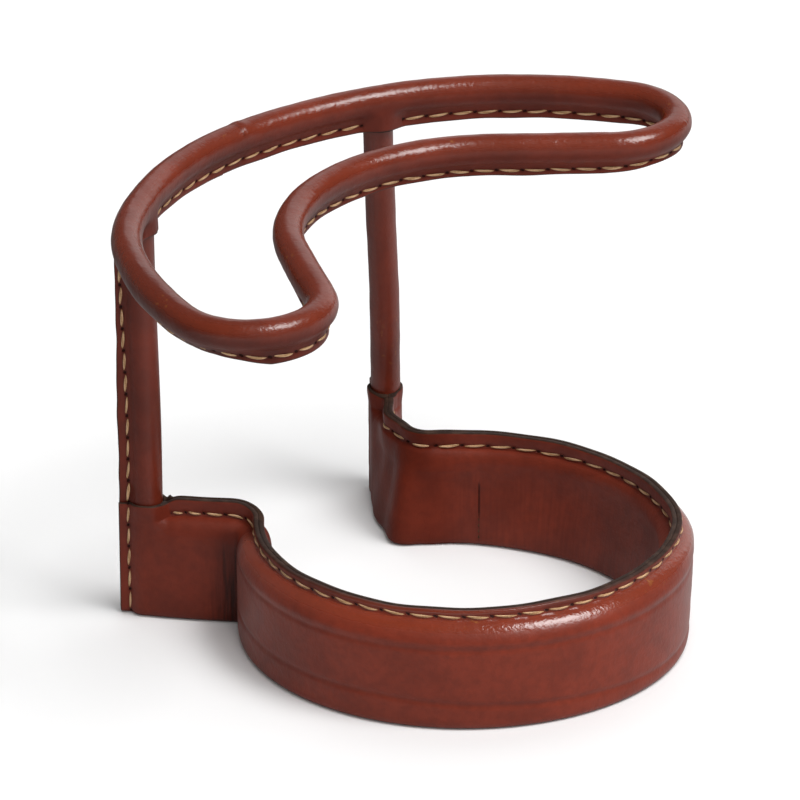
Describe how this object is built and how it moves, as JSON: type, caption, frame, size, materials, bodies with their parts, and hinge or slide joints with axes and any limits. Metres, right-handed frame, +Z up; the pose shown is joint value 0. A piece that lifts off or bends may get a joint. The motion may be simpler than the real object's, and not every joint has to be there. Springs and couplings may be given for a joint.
{
  "type": "wine bottle carrier",
  "caption": "Leather-covered bottle carrier: an open ring that stands on the floor, upright posts and a crescent hand loop that hugs the bottle, all saddle-stitched.",
  "frame": {"origin": "under the middle of the bounding box, on the floor", "axes": "+X from the mouth towards the closed front of the ring, +Y to the left along the loop's long way, +Z up"},
  "size_m": [0.1274, 0.1698, 0.105],
  "materials": {
    "leather": "waxed and polished, red brown",
    "steel": "bare mill finish under the cover",
    "liner": "raw leatherboard",
    "thread": "waxed linen",
    "dart_thread": "dark waxed linen"
  },
  "bodies": {
    "root": {"base_strap": "steel", "loop_rod": "steel", "post_rod_left": "steel", "post_rod_right": "steel", "base_liner_inner": "liner", "base_liner_outer": "liner", "base_cover": "leather", "post_cover_left": "leather", "post_cover_right": "leather", "loop_cover": "leather", "base_thread_inner": "thread", "base_thread_outer": "thread", "loop_thread_front_inner": "thread", "loop_thread_front_outer": "thread", "loop_thread_back_inner": "thread", "loop_thread_back_outer": "thread", "post_thread_left_mouth": "thread", "post_thread_left_flank": "thread", "post_thread_right_mouth": "thread", "post_thread_right_flank": "thread", "dart_thread": "dart_thread"}
  },
  "joints": []
}
